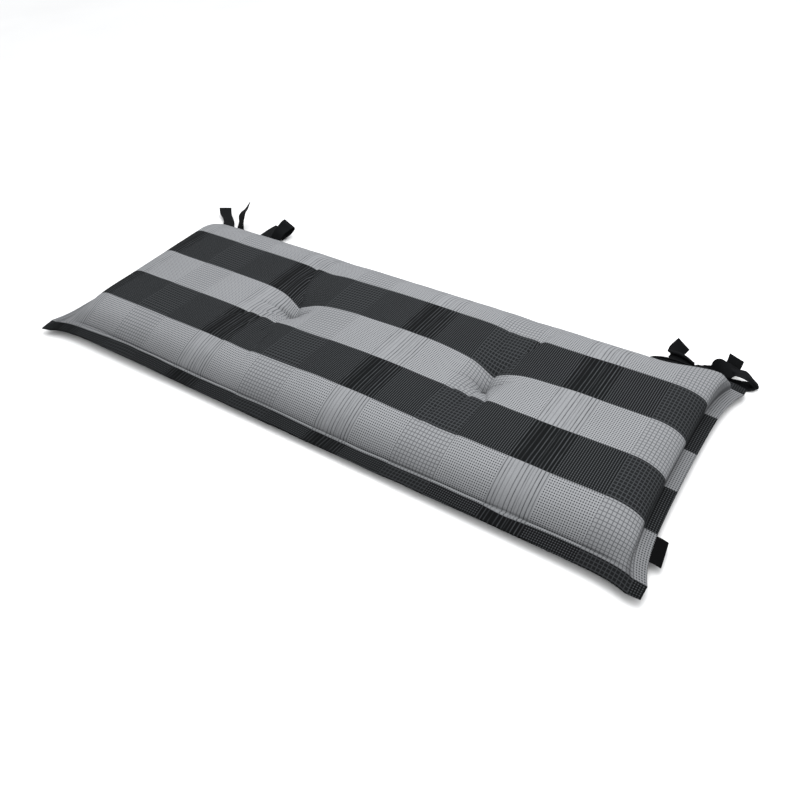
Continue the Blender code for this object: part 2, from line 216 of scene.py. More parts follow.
# Painted shade, where the cloth is darker: on the pressed hem, on the front flank, and next to the end seams
HEM_FROM_END = (-0.003, 0.002)
HEM_FROM_SIDE = (-0.0005, 0.002)
# Painted shade on the hem, and more of it on the front and back hem
HEM_PAINTED_SHADE = 0.31
SIDE_HEM_PAINTED_SHADE = 0.4
# Painted shade on the front flank, darkest low down by the front seam
FLANK_PAINTED_SHADE = 0.27
FLANK_PAINTED_SHADE_RANGE = (-0.145, -0.192)
# Painted shade on the cloth next to the end seams
SEAM_PAINTED_SHADE = 0.3
SEAM_PAINTED_SHADE_RANGE = (0.016, 0.001)
MOTTLE_SCALE = 9.0
MOTTLE_DETAIL = 4.0
MOTTLE_RANGE = (0.2, 0.8)
MOTTLE_SHADE = (0.06, 0.97)

# The cloth's relief
WEAVE_PITCH = 0.001
WEAVE_RELIEF = 0.25
FIGURE_BUMP = 0.8
FIGURE_DEPTH = 0.00022
CRINKLE_DEPTH = 0.0009

# How the pattern lies on the sewn cover: askew, and shifted between the tufts, at the back and at the front
SKEW = 0.045
SKEW_TURN = 0.09
SKEW_FROM = -0.17
MIDDLE_SHIFT = 0.003
MIDDLE_PLACE = (0.04, 0.12)
MIDDLE_FADE = (0.12, 0.19)
BACK_SHIFT = 0.004
BACK_SHIFT_IN = (0.06, 0.12)
BACK_SHIFT_OUT = (0.17, 0.205)
FRONT_SHIFT_OUT = (-0.205, -0.17)

# What is sewn into the hem
SEAT_GAP = 0.0005
FLOOR_CLEARANCE = 0.0002
LABEL_SEAT_GAP = 0.001
LABEL_FRONT = -0.172
LABEL_BACK = -0.128
LABEL_REACH = 0.0165
LABEL_HALF_GAP = 0.0004
LABEL_TAPE = 0.0007
LABEL_DROOP = 0.003
LABEL_STEPS = 8
LABEL_ACROSS = 10
TAPE_WIDTH = 0.029
TAPE_THICKNESS = 0.0012
TAPE_STEPS = 14
TAPE_ACROSS = 28
TAPE_EDGE_SHARE = 0.45
LEAST_CLOTH_SHARE = 0.76
PLEATS = 1.5
PLEAT_BENDS = [0.05 * step for step in range(45)]
PLEAT_SAMPLES = 40
KNOT_CENTRE = (0.517, 0.2425, 0.0058)
KNOT_HALF_SIZE = (0.0132, 0.009, 0.005)
KNOT_RINGS = 28
KNOT_SIDES = 40
KNOT_SQUARENESS = 0.6
KNOT_LEAST = 0.93
KNOT_WRAP = 0.07
KNOT_WRAPS = 3
KNOT_SLANT = 1.1
KNOT_PLACES = (0.01, 0.006)

# The loose end of thread in the right tuft
THREAD_RADIUS = 0.00055
THREAD_STEPS = 14
THREAD_START = (-0.0045, -0.0035)
THREAD_REACH = 0.0085
THREAD_BOW = 0.002
THREAD_CLEAR = 0.0004
THREAD_RISE = 0.0022
THREAD_HOOK = 1.3

# Each tape's rows: a place on its centre line, the way its width runs there, and the share of its width that
# it keeps. A first row with no y and z starts at the cut edge of the back hem.
TIES = {
    "tie_left_flat": [
        ((-0.539, None, None), (1.0, 0.0, 0.0), 1.0),
        ((-0.5575, 0.2476, 0.008), (0.98, 0.18, 0.0), 1.0),
        ((-0.5797, 0.2628, 0.011), (0.94, 0.33, 0.0), 1.0),
        ((-0.5955, 0.2792, 0.016), (0.9, 0.44, 0.0), 1.0),
    ],
    "tie_left_twisted": [
        ((-0.507, None, None), (1.0, 0.0, 0.0), 0.7),
        ((-0.5104, 0.241, 0.0182), (0.91, -0.32, 0.27), 0.9),
        ((-0.5133, 0.2485, 0.0281), (0.92, -0.3, 0.24), 1.0),
        ((-0.5123, 0.256, 0.0363), (0.87, -0.34, 0.34), 1.0),
        ((-0.5085, 0.2635, 0.042), (0.8, -0.46, 0.4), 0.98),
        ((-0.5058, 0.275, 0.0533), (0.7, -0.49, 0.52), 0.98),
    ],
    "tie_left_straight": [
        ((-0.44, None, None), (1.0, 0.0, 0.0), 1.0),
        ((-0.4362, 0.2625, 0.006), (1.0, -0.06, 0.0), 1.0),
        ((-0.4362, 0.2835, 0.004), (0.98, -0.19, 0.0), 1.0),
    ],
    "tie_left_loop": [
        ((-0.408, None, None), (1.0, 0.0, 0.0), 1.0),
        ((-0.4011, 0.243, 0.02), (0.98, -0.03, -0.19), 0.85),
        ((-0.3947, 0.2557, 0.029), (0.91, 0.03, -0.4), 0.9),
        ((-0.3905, 0.2638, 0.0335), (0.88, 0.06, -0.47), 0.95),
        ((-0.391, 0.2712, 0.0315), (0.89, -0.03, -0.45), 1.0),
        ((-0.3934, 0.2726, 0.024), (0.9, -0.08, -0.42), 1.0),
        ((-0.4009, 0.2645, 0.012), (0.95, -0.17, -0.25), 1.0),
        ((-0.4098, 0.2462, 0.0028), (1.0, -0.1, 0.0), 1.0),
    ],
    "tie_right_root": [
        ((0.442, None, None), (1.0, 0.0, 0.0), 0.9),
        ((0.448, 0.2385, 0.006), (0.9, -0.1, -0.2), 0.6),
        ((0.462, 0.2395, 0.0065), (0.35, 0.1, -0.85), 0.36),
        ((0.48, 0.2398, 0.0065), (0.0, -0.2, -0.95), 0.33),
        ((0.5045, 0.239, 0.0058), (0.0, -0.2, -0.95), 0.28),
    ],
    "tie_right_curl": [
        ((0.5045, 0.2465, 0.0075), (0.0, -0.3, -0.95), 0.33),
        ((0.4896, 0.2475, 0.0111), (0.01, -0.32, -0.95), 0.54),
        ((0.4771, 0.2485, 0.013), (0.02, -0.28, -0.96), 0.61),
        ((0.4658, 0.2495, 0.0127), (0.11, -0.31, -0.94), 0.56),
        ((0.4605, 0.253, 0.0118), (0.54, -0.64, -0.54), 0.59),
        ((0.4648, 0.257, 0.0156), (0.71, -0.59, -0.39), 0.82),
        ((0.4718, 0.261, 0.0214), (0.79, -0.49, -0.38), 1.0),
        ((0.4774, 0.265, 0.0305), (0.84, -0.49, -0.23), 1.0),
    ],
    "tie_right_tail": [
        ((0.52, 0.2522, 0.0075), (1.0, 0.0, 0.0), 0.5),
        ((0.536, 0.259, 0.005), (0.8, -0.6, 0.0), 0.6),
        ((0.553, 0.259, 0.0065), (0.9, -0.3, -0.2), 0.75),
        ((0.5601, 0.2585, 0.0135), (0.94, 0.0, -0.35), 0.8),
        ((0.5621, 0.2625, 0.0227), (0.93, 0.0, -0.38), 0.88),
        ((0.5628, 0.268, 0.0323), (0.94, 0.0, -0.34), 0.9),
    ],
    "tie_right_loop": [
        ((0.5297, 0.243, 0.0095), (0.0, -0.3, -0.9), 0.33),
        ((0.5359, 0.243, 0.0176), (0.28, -0.33, -0.9), 0.85),
        ((0.547, 0.244, 0.0225), (0.39, -0.41, -0.82), 1.0),
        ((0.5603, 0.2465, 0.019), (0.42, -0.59, -0.69), 0.87),
        ((0.5719, 0.247, 0.0197), (0.01, -1.0, 0.01), 0.69),
        ((0.5863, 0.2465, 0.0189), (0.17, -0.99, 0.03), 0.77),
        ((0.5975, 0.245, 0.0128), (0.01, -1.0, 0.1), 0.55),
        ((0.6066, 0.2435, 0.006), (-0.15, -0.99, 0.0), 0.4),
        ((0.6021, 0.2435, 0.002), (0.18, -0.98, 0.0), 0.58),
        ((0.5887, 0.2419, 0.0017), (0.1, -1.0, 0.0), 0.85),
        ((0.5732, 0.24, 0.0017), (0.03, -1.0, 0.0), 0.5),
        ((0.5547, 0.2385, 0.002), (0.0, -1.0, 0.0), 0.4),
        ((0.5297, 0.2375, 0.0024), (0.0, -1.0, 0.0), 0.25),
    ],
}

# How the cloth, the thread and the tapes look
CLOTH_LOOK = {"roughness": 0.92, "shine": 0.05}
THREAD_LOOK = {"roughness": 0.7, "shine": 0.5}
THREAD_COLOURS = ((0.012, 0.012, 0.014, 1), (0.03, 0.03, 0.034, 1))
THREAD_GRAIN = 900.0
TAPE_LOOK = {"colour": (0.0028, 0.0031, 0.0035), "rib": 0.0011, "roughness": 0.8, "shine": 0.07}
LABEL_LOOK = {"colour": (0.0016, 0.0016, 0.0018), "rib": 0.0006, "roughness": 0.9, "shine": 0.03}
WEFT_TO_RIB = 0.8
TAPE_HIGHS = 1.9
TAPE_BUMP = 0.7
TAPE_RELIEF = 0.00015

# The light and the floor
SKY_AT_HORIZON = 0.38
SKY_OVERHEAD = 1.8
SKY_RANGE = (0.1, 0.95)
KEY_PLACE = (0.22, 0.34, 1.45)
KEY_SIZE = 1.3
KEY_POWER = 24.5
FLOOR_LOOK = {"roughness": 0.9, "shine": 0.1}
FLOOR_COLOURS = ((0.68, 0.685, 0.69, 1), (0.7, 0.705, 0.71, 1))
FLOOR_GRAIN = 3.0
FLOOR_GRAIN_RANGE = (0.3, 0.7)
FLOOR_HALF_SIZE = 40.0
FLOOR_DROP = 0.0004

# The camera
CAMERA_PLACE = Vector((0.696, -0.819, 0.864))
CAMERA_YAW = math.radians(37.3)
CAMERA_PITCH = math.radians(42.14)
CAMERA_ROLL = math.radians(-5.36)
CAMERA_LENS = 34.81
CAMERA_SENSOR = 36.0
CAMERA_RANGE = (0.02, 60.0)


# -------- the cloth's shape


def smooth_step(value, low, high):
    t = np.clip((value - low) / (high - low), 0.0, 1.0)
    return t * t * (3 - 2 * t)


def hump(value, at, half_width):
    """1 at a place, falling off smoothly on both sides."""
    return np.exp(-(((value - at) / half_width) ** 2))


def noise(x, y, size, seed):
    """Smooth seeded noise from -1 to 1, one lump for each size."""
    table = np.random.default_rng(seed).uniform(-1.0, 1.0, (NOISE_CELLS, NOISE_CELLS))
    gx, gy = np.asarray(x) / size + NOISE_CELLS / 2, np.asarray(y) / size + NOISE_CELLS / 2
    ix, iy = np.floor(gx).astype(int), np.floor(gy).astype(int)
    fx, fy = gx - ix, gy - iy
    fx, fy = fx**3 * (fx * (6 * fx - 15) + 10), fy**3 * (fy * (6 * fy - 15) + 10)
    here, ahead = ix % NOISE_CELLS, (ix + 1) % NOISE_CELLS
    low, high = iy % NOISE_CELLS, (iy + 1) % NOISE_CELLS
    near = table[here, low] * (1 - fx) + table[ahead, low] * fx
    far = table[here, high] * (1 - fx) + table[ahead, high] * fx
    return near * (1 - fy) + far * fy


def edge_profile(inside, rounding):
    """How high the cloth stands, 0 to 1, and how far it is drawn in, at a distance inside the seam."""
    span = math.pi / 2 * np.sqrt((rounding**2 + EDGE_RISE**2) / 2)
    inside = np.clip(inside, 0.0, span)
    angle = inside / span * math.pi / 2
    return np.sin(angle), span - rounding - inside + rounding * (1 - np.cos(angle))


def fade_in(distance, reach):
    """0 at the start, and nearly 1 a few reaches on."""
    return 1 - np.exp(-np.maximum(distance, 0.0) / reach)


def front_seam_shift(u):
    """How far the front seam's fold lies outside the seam line."""
    shift = sum(place["shift"] * hump(u, place["at"], place["reach"]) for place in SEAM_SHIFTS)
    return shift + SEAM_WANDER * noise(u, 0 * u, SEAM_WANDER_SIZE, SEEDS["seam"])


def bulge(inside, height):
    """How far the pad's flank stands out over its seam."""
    share = np.maximum(inside, 0.0) / BULGE_INSET
    return height * share * np.exp(1 - share)


def crease_depth(along, across, crease, along_places, across_places):
    """How deep one crease lies at each place: a sharp valley that fades away from its first place."""
    order = np.argsort(along_places)
    line_along = np.array(along_places)[order]
    line_across = np.array(across_places)[order]
    beside = across - np.interp(along, line_along, line_across)
    from_start = np.abs(along - along_places[0])
    whole = along_places[-1] - along_places[0]
    before = np.sign(whole) * (along_places[0] - along)
    reach = abs(whole)
    strength = crease["depth"] * np.exp(-from_start / CREASE_FADE)
    strength = strength * (1 - smooth_step(from_start, CREASE_END[0] * reach, CREASE_END[1] * reach))
    strength = strength * (1 - smooth_step(before, *CREASE_START))
    width = np.where(beside < 0, CREASE_SLOW_SIDE, CREASE_QUICK_SIDE) + crease.get("spread", 0.0)
    return strength * np.exp(-np.sqrt(beside**2 + CREASE_ROUNDING**2) / width)


def tuft_folds(x, y, filled):
    """How far the creases round the tufts lower the cloth."""
    z = np.zeros_like(x)
    for crease in CREASES_ALONG_Y:
        z -= crease_depth(y, x, crease, crease["y"], crease["x"])
    for crease in CREASES_ALONG_X:
        z -= crease_depth(x, y, crease, crease["x"], crease["y"])
    return z * filled


def drawn_to_tufts(x, y):
    """Where the cloth at (x, y) lies once the tufts have drawn it in, most of all from front and back."""
    for tuft in TUFTS:
        dx, dy = x - tuft["x"], y - tuft["y"]
        away = np.hypot(dx, dy)
        pull = TUFT_DRAW * (1 - np.exp(-away / TUFT_DRAW_START)) * hump(away, 0.0, TUFT_DRAW_FADE)
        share = np.minimum(pull / np.maximum(away, 1e-6), TUFT_DRAW_MOST)
        x, y = x - dx * share * TUFT_DRAW_ALONG, y - dy * share
    return x, y


def cover_points(u, v):
    """Where the cloth points (u, v) of the upper panel and the hem's upper face lie."""
    front = v <= 0
    inside_end = SEAM_HALF_LENGTH - np.abs(u)
    inside_side = SEAM_HALF_DEPTH - np.abs(v)
    beyond_fold = np.where(front, np.maximum(inside_side - FOLD_WIDTH, 0.0) * FOLD_STRETCH, inside_side)
    rounding, draw, fade = (np.where(front, FRONT[key], BACK[key]) for key in ("rounding", "draw", "fade"))
    end_height, end_drawn = edge_profile(inside_end, END["rounding"])
    side_height, side_drawn = edge_profile(beyond_fold, rounding)

    # The outline: drawn in along the seams, and bulging over them
    back_right = smooth_step(u, *FULL_CORNER_ALONG) * smooth_step(v, *FULL_CORNER_ACROSS)
    bulge_fade = BULGE_FADE - FULL_CORNER_FADE_CUT * back_right
    out_end = bulge(inside_end, END_BULGE) * smooth_step(inside_side, 0.0, bulge_fade)
    side_bulge = bulge(beyond_fold, 1.0) * smooth_step(inside_end, 0.0, bulge_fade)
    out_side = side_bulge * np.where(front, FRONT_BULGE, BACK_BULGE)
    x = np.copysign(np.abs(u) - END["draw"] * end_drawn * fade_in(inside_side, END["fade"]) + out_end, u)
    y = np.copysign(np.abs(v) - draw * side_drawn * fade_in(inside_end, fade) + out_side, v)

    # The height: the crown, the hem that droops from it, and the waves of the front seam
    end_height = end_height ** (1 - END_FULLER * smooth_step(u, *FULL_END))
    filled = (end_height * side_height) ** (1 - CORNER_FULLER * back_right)
    crown = 1 - CROWN_FALL_TO_ENDS * (u / SEAM_HALF_LENGTH) ** 2 + CROWN_RISE_TO_BACK * v / SEAM_HALF_DEPTH
    z = SEAM_HEIGHT + (CROWN_HEIGHT - SEAM_HEIGHT) * filled * crown
    hem_share = np.maximum(np.maximum(-inside_end / END_HEM, -inside_side / SIDE_HEM), 0.0)
    z -= HEM_DROOP * hem_share
    droop = (BACK_HEM_DROOP + BACK_HEM_TUCK) * (1 - DROOP_EASE * smooth_step(u, *DROOP_EASE_ALONG))
    z -= droop * np.maximum((v - SEAM_HALF_DEPTH) / SIDE_HEM, 0.0)
    z += np.where(front, 0.0, BACK_RISE) * side_bulge
    from_front_seam = np.abs(v + SEAM_HALF_DEPTH)
    for wave in SEAM_WAVES:
        along = hump(u, wave["at"], wave["reach"])
        z += wave["lift"] * along * np.exp(-from_front_seam / SEAM_WAVE_REACH)
    for ear in EARS:
        corner_u = ear["end"] * (SEAM_HALF_LENGTH + END_HEM)
        corner_v = ear["side"] * (SEAM_HALF_DEPTH + SIDE_HEM)
        near = np.exp(-np.hypot(u - corner_u, v - corner_v) / ear.get("reach", EAR_REACH))
        x, y, z = x + ear["along"] * near, y + ear["across"] * near, z + ear["lift"] * near

    # The raised fold along the front seam, and the crease behind it
    on_fold = np.where(front, 1.0, 0.0) * smooth_step(inside_end, -FOLD_END, FOLD_END)
    across_fold = (inside_side + front_seam_shift(u)) / FOLD_WIDTH
    z += on_fold * FOLD_HEIGHT * hump(across_fold, *FOLD_RIDGE)
    z -= on_fold * FOLD_CREASE * hump(across_fold, *FOLD_VALLEY)

    # The tufts, each with its trough and its creases
    x, y = drawn_to_tufts(x, y)
    for tuft in TUFTS:
        z -= filled * TROUGH_DEPTH * hump(x, tuft["x"], TROUGH_HALF_WIDTH)
        z -= filled * TUFT_DEPTH * np.exp(-np.hypot(x - tuft["x"], y - tuft["y"]) / TUFT_REACH)
    z += tuft_folds(x, y, filled)

    # Lumps of filling, puckers along the seams, and the hem's waves
    lumps = noise(u, v, LUMP_SIZE, SEEDS["lumps"]) + 0.5 * noise(u, v, LUMP_SIZE / 2, SEEDS["small lumps"])
    z += LUMP_HEIGHT * filled * lumps
    seam_near = np.exp(-np.maximum(np.minimum(inside_end, inside_side), 0.0) / PUCKER_REACH)
    pucker = noise(u, v * PUCKER_STRETCH, PUCKER_SIZE, SEEDS["puckers"])
    pucker = pucker * seam_near * smooth_step(inside_side, FOLD_WIDTH, PUCKER_START)
    z += PUCKER_HEIGHT * pucker * smooth_step(inside_end, 0.0, PUCKER_START)
    z += HEM_WAVE_HEIGHT * hem_share * noise(u, v, HEM_WAVE_SIZE, SEEDS["hem"])
    return x, y, z


def under_points(u, v):
    """Where the cloth points (u, v) of the lower panel and the hem's lower face lie."""
    x, y, z = cover_points(u, v)
    z -= HEM_THICKNESS
    inside_end = SEAM_HALF_LENGTH - np.abs(u)
    inside_side = SEAM_HALF_DEPTH - np.abs(v)
    inside = np.minimum(inside_end, inside_side)
    to_end = np.where((inside > 0) & (inside_end <= inside_side), inside, 0.0)
    to_side = np.where((inside > 0) & (inside_end > inside_side), inside, 0.0)
    seam_u = np.copysign(np.abs(u) + to_end, u)
    seam_v = np.copysign(np.abs(v) + to_side, v)
    seam_z = cover_points(seam_u, seam_v)[2] - HEM_THICKNESS
    flank = seam_z * np.interp(inside, FLANK_INSETS, FLANK_HEIGHTS)
    for tuft in TUFTS:
        flank += UNDER_DIMPLE * np.exp(-np.hypot(x - tuft["x"], y - tuft["y"]) / UNDER_DIMPLE_REACH)
    return x, y, np.where(inside > 0, flank, z)


# -------- meshes


def added(name, data):
    """A new object that the scene holds."""
    obj = bpy.data.objects.new(name, data)
    bpy.context.scene.collection.objects.link(obj)
    return obj


def new_object(name, verts, faces, uvs, material):
    """A smooth mesh object. uvs holds one pair for each vertex."""
    mesh = bpy.data.meshes.new(name)
    mesh.from_pydata([tuple(p) for p in verts], [], faces)
    layer = mesh.uv_layers.new(name="cloth")
    corner_verts = np.empty(len(mesh.loops), dtype=np.int32)
    mesh.loops.foreach_get("vertex_index", corner_verts)
    layer.data.foreach_set("uv", np.asarray(uvs, dtype=np.float32)[corner_verts].ravel())
    mesh.materials.append(material)
    mesh.shade_smooth()
    mesh.update()
    return added(name, mesh)


def tube_faces(rings, ring):
    """The faces between rings of points, with ring points in each."""
    starts = [(k * ring + c, k * ring + (c + 1) % ring) for k in range(rings - 1) for c in range(ring)]
    return [(a, b, b + ring, a + ring) for a, b in starts]


def stations(seam_half, hem, cells, fine_ranges):
    """Cloth lines from one hem edge to the other, close together at the seams and in the fine ranges."""
    low_side = [-seam_half - hem + hem * i / HEM_CELLS for i in range(HEM_CELLS)]
    low_side += [-seam_half + SEAM_ZONE * i / SEAM_CELLS for i in range(SEAM_CELLS)]
    inner = seam_half - SEAM_ZONE
    samples = np.linspace(-inner, inner, STATION_SAMPLES)
    density = np.ones_like(samples)
    for low, high in fine_ranges:
        begun = smooth_step(samples, low - FINE_FADE, low)
        ended = smooth_step(samples, high, high + FINE_FADE)
        density += (FINER - 1) * begun * (1 - ended)
    total = np.concatenate([[0.0], np.cumsum((density[1:] + density[:-1]) / 2)])
    middle = np.interp(np.linspace(0, total[-1], cells + 1), total, samples)
    return np.array(low_side + list(middle) + [-value for value in reversed(low_side)])


def pattern_place(u, v):
    """The weave's own coordinates: the cloth was sewn a little askew."""
    askew = (SKEW - SKEW_TURN * u) * (v - SKEW_FROM)
    between = hump(u, *MIDDLE_PLACE) * (1 - smooth_step(np.abs(v), *MIDDLE_FADE))
    at_back = smooth_step(v, *BACK_SHIFT_IN) * (1 - smooth_step(v, *BACK_SHIFT_OUT))
    at_front = front_seam_shift(u) * (1 - smooth_step(v, *FRONT_SHIFT_OUT))
    return np.stack([u - askew, v - MIDDLE_SHIFT * between - BACK_SHIFT * at_back + at_front], axis=-1)


def make_cushion(material):
    """The cover as one closed mesh, with cells twice as wide in the middle of its underside."""
    us = stations(SEAM_HALF_LENGTH, END_HEM, CELLS_ALONG, FINE_ALONG)
    vs = stations(SEAM_HALF_DEPTH, SIDE_HEM, CELLS_ACROSS, FINE_ACROSS)
    nu, nv = len(us), len(vs)
    u, v = np.meshgrid(us, vs, indexing="ij")
    top = np.stack(cover_points(u, v), axis=-1).reshape(-1, 3)
    under = np.stack(under_points(u, v), axis=-1).reshape(-1, 3)
    place = pattern_place(u, v).reshape(-1, 2)

    firsts = [i * nv + j for i in range(nu - 1) for j in range(nv - 1)]
    faces = [(a, a + nv, a + nv + 1, a + 1) for a in firsts]
    offset = nu * nv
    first_u, last_u = FINE_UNDER_CELLS, nu - 1 - FINE_UNDER_CELLS
    first_v, last_v = FINE_UNDER_CELLS, nv - 1 - FINE_UNDER_CELLS

    def low(i, j):
        return offset + i * nv + j

    for i in range(nu - 1):
        for j in range(nv - 1):
            if not (first_u <= i < last_u and first_v <= j < last_v):
                faces.append((low(i, j), low(i, j + 1), low(i + 1, j + 1), low(i + 1, j)))
    for i in range(first_u, last_u, 2):
        for j in range(first_v, last_v, 2):
            ring = [(0, 0), (0, 1), (0, 2), (1, 2), (2, 2), (2, 1), (2, 0), (1, 0)]
            at_rim = (i == first_u, j + 2 == last_v, i + 2 == last_u, j == first_v)
            kept = [place for k, place in enumerate(ring) if k % 2 == 0 or at_rim[k // 2]]
            faces.append(tuple(low(i + di, j + dj) for di, dj in kept))

    # The hem's cut edge, rounded by one row between its upper and lower face
    edge = [(i, 0) for i in range(nu - 1)] + [(nu - 1, j) for j in range(nv - 1)]
    edge += [(i, nv - 1) for i in range(nu - 1, 0, -1)] + [(0, j) for j in range(nv - 1, 0, -1)]
    middle_start = 2 * offset
    middles = []
    for i, j in edge:
        upper, lower = top[i * nv + j], under[i * nv + j]
        outward = np.array([np.sign(us[i]) * (i in (0, nu - 1)), np.sign(vs[j]) * (j in (0, nv - 1)), 0.0])
        middles.append((upper + lower) / 2 + outward * HEM_EDGE_ROUND)
    for k, (i, j) in enumerate(edge):
        n = (k + 1) % len(edge)
        p, q = edge[n]
        faces.append((middle_start + k, middle_start + n, p * nv + q, i * nv + j))
        faces.append((low(i, j), low(p, q), middle_start + n, middle_start + k))

    verts = np.concatenate([top, under, np.array(middles)])
    places = np.concatenate([place, place, place[[i * nv + j for i, j in edge]]])
    used = np.zeros(len(verts), dtype=bool)
    used[[k for face in faces for k in face]] = True
    index = np.cumsum(used) - 1
    faces = [tuple(int(index[k]) for k in face) for face in faces]
    return new_object("cushion_cover", verts[used], faces, places[used], material)


def hem_edge(u, v):
    """The middle of the hem's thickness at a cloth point."""
    x, y, z = cover_points(np.array([u]), np.array([v]))
    return Vector((float(x[0]), float(y[0]), float(z[0]) - HEM_THICKNESS / 2))


def back_edge(x):
    """The middle of the back hem's cut edge at x."""
    low, high = -SEAM_HALF_LENGTH, SEAM_HALF_LENGTH
    for _ in range(40):
        middle = (low + high) / 2
        if hem_edge(middle, SEAM_HALF_DEPTH + SIDE_HEM).x < x:
            low = middle
        else:
            high = middle
    return hem_edge(low, SEAM_HALF_DEPTH + SIDE_HEM)


def smooth_between(before, start, end, after, t):
    """A Catmull-Rom curve from start to end."""
    return 0.5 * (
        2 * start
        + (end - before) * t
        + (2 * before - 5 * start + 4 * end - after) * t**2
        + (3 * start - before - 3 * end + after) * t**3
    )


def seated(rows):
    """A tape's (centre, half width) places, with a first row that has no y and z set against the back hem."""
    places = []
    for (x, y, z), across, share in rows:
        half = Vector(across).normalized() * TAPE_WIDTH / 2 * share
        if y is None:
            low, high = back_edge(x - half.x), back_edge(x + half.x)
            places.append(((low + high) / 2 + Vector((0, SEAT_GAP, 0)), (high - low) / 2))
        else:
            places.append((Vector((x, y, z)), half))
    return places


def pleated_section(width, cells):
    """A tape's cross-section as (across, up, turn) places, in pleats where it is narrower than its cloth."""
    cloth = max(width, LEAST_CLOTH_SHARE * TAPE_WIDTH)
    phases = np.linspace(0.0, 2 * math.pi * PLEATS, PLEAT_SAMPLES * cells + 1)
    widths = [float(np.mean(np.cos(bend * np.cos(phases)))) for bend in PLEAT_BENDS]
    bend = float(np.interp(-width / cloth, [-w for w in widths], PLEAT_BENDS))
    turns = bend * np.cos(phases)
    step = cloth / (len(phases) - 1)
    across = np.concatenate([[0.0], np.cumsum((np.cos(turns[1:]) + np.cos(turns[:-1])) / 2 * step)])
    up = np.concatenate([[0.0], np.cumsum((np.sin(turns[1:]) + np.sin(turns[:-1])) / 2 * step)])
    across, up = across - across[-1] / 2, up - (up.max() + up.min()) / 2
    kept = range(0, len(phases), PLEAT_SAMPLES)
    return [(float(across[k]), float(up[k]), float(turns[k])) for k in kept]


def ribbon(name, points, first_ahead, thickness, across_cells, material, pleated=False):
    """A closed tape through (centre, half width) points, thin at its two edges."""
    verts, uvs = [], []
    along = 0.0
    for k, (centre, half) in enumerate(points):
        ahead = points[min(k + 1, len(points) - 1)][0] - points[max(k - 1, 0)][0]
        if k == 0 and first_ahead is not None:
            ahead = first_ahead
        if k:
            along += (centre - points[k - 1][0]).length
        normal = ahead.cross(half).normalized()
        side_way = half.normalized()
        if pleated:
            section = pleated_section(2 * half.length, across_cells)
        else:
            shares = [2 * c / across_cells - 1 for c in range(across_cells + 1)]
            section = [(half.length * share, 0.0, 0.0) for share in shares]
        loop = []
        for side in (1, -1):
            for c in range(across_cells + 1):
                cell = c if side == 1 else across_cells - c
                across, up, turn = section[cell]
                edge = c in (0, across_cells)
                lift = side * thickness / 2 * (TAPE_EDGE_SHARE if edge else 1.0)
                outward = normal * math.cos(turn) - side_way * math.sin(turn)
                loop.append(centre + side_way * across + normal * up + outward * lift)
                width = max(2 * half.length, LEAST_CLOTH_SHARE * TAPE_WIDTH * pleated)
                uvs.append(((cell / across_cells - 0.5) * width, along))
        sunk = max(0.0, FLOOR_CLEARANCE - min(point.z for point in loop))
        verts.extend(point + Vector((0, 0, sunk)) for point in loop)
    ring = 2 * (across_cells + 1)
    faces = tube_faces(len(points), ring)
    last = (len(points) - 1) * ring
    for c in range(across_cells):
        a, b = c, ring - 1 - c
        faces.append((a, b, b - 1, a + 1))
        faces.append((last + a, last + a + 1, last + b - 1, last + b))
    obj = new_object(name, verts, faces, uvs, material)
    fix_normals(obj)
    obj.data.set_sharp_from_angle(angle=math.radians(60))
    return obj, along


def fix_normals(obj, merged=False):
    """Turns all faces outwards. With merged, points that lie on each other become one first."""
    bm = bmesh.new()
    bm.from_mesh(obj.data)
    if merged:
        bmesh.ops.remove_doubles(bm, verts=bm.verts[:], dist=1e-6)
    bmesh.ops.recalc_face_normals(bm, faces=bm.faces[:])
    bm.to_mesh(obj.data)
    bm.free()


def make_tape(name, rows, material):
    """A tape along a smooth line through its rows, and how long it is."""
    centres, halves = zip(*seated(rows))
    line = [2 * centres[0] - centres[1], *centres, 2 * centres[-1] - centres[-2]]
    widths = [halves[0], *halves, halves[-1]]
    points = []
    for k in range(1, len(line) - 2):
        for step in range(TAPE_STEPS):
            t = step / TAPE_STEPS
            centre = smooth_between(*line[k - 1 : k + 3], t)
            points.append((centre, smooth_between(*widths[k - 1 : k + 3], t)))
    points.append((centres[-1], halves[-1]))
    first_ahead = Vector((0, 1, 0)) if rows[0][0][1] is None else None
    return ribbon(name, points, first_ahead, TAPE_THICKNESS, TAPE_ACROSS, material, pleated=True)


def make_label(material):
    """A short tape folded over outwards, its two cut ends sewn into the right hem."""
    end = SEAM_HALF_LENGTH + END_HEM
    root = hem_edge(end, (LABEL_FRONT + LABEL_BACK) / 2) + Vector((LABEL_SEAT_GAP, 0, 0))
    half = (hem_edge(end, LABEL_BACK) - hem_edge(end, LABEL_FRONT)) / 2
    radius = LABEL_HALF_GAP + LABEL_TAPE / 2
    straight = LABEL_REACH - radius
    shares = [step / LABEL_STEPS for step in range(LABEL_STEPS + 1)]
    outline = [(straight * share, -radius) for share in shares]
    for share in shares[1:-1]:
        angle = math.pi * (share - 0.5)
        outline.append((straight + radius * math.cos(angle), radius * math.sin(angle)))
    outline += [(straight * share, radius) for share in reversed(shares)]
    droops = [LABEL_DROOP * (out / LABEL_REACH) ** 2 for out, _ in outline]
    points = [(root + Vector((out, 0, up - droop)), half) for (out, up), droop in zip(outline, droops)]
    return ribbon("side_label", points, None, LABEL_TAPE, LABEL_ACROSS, material)


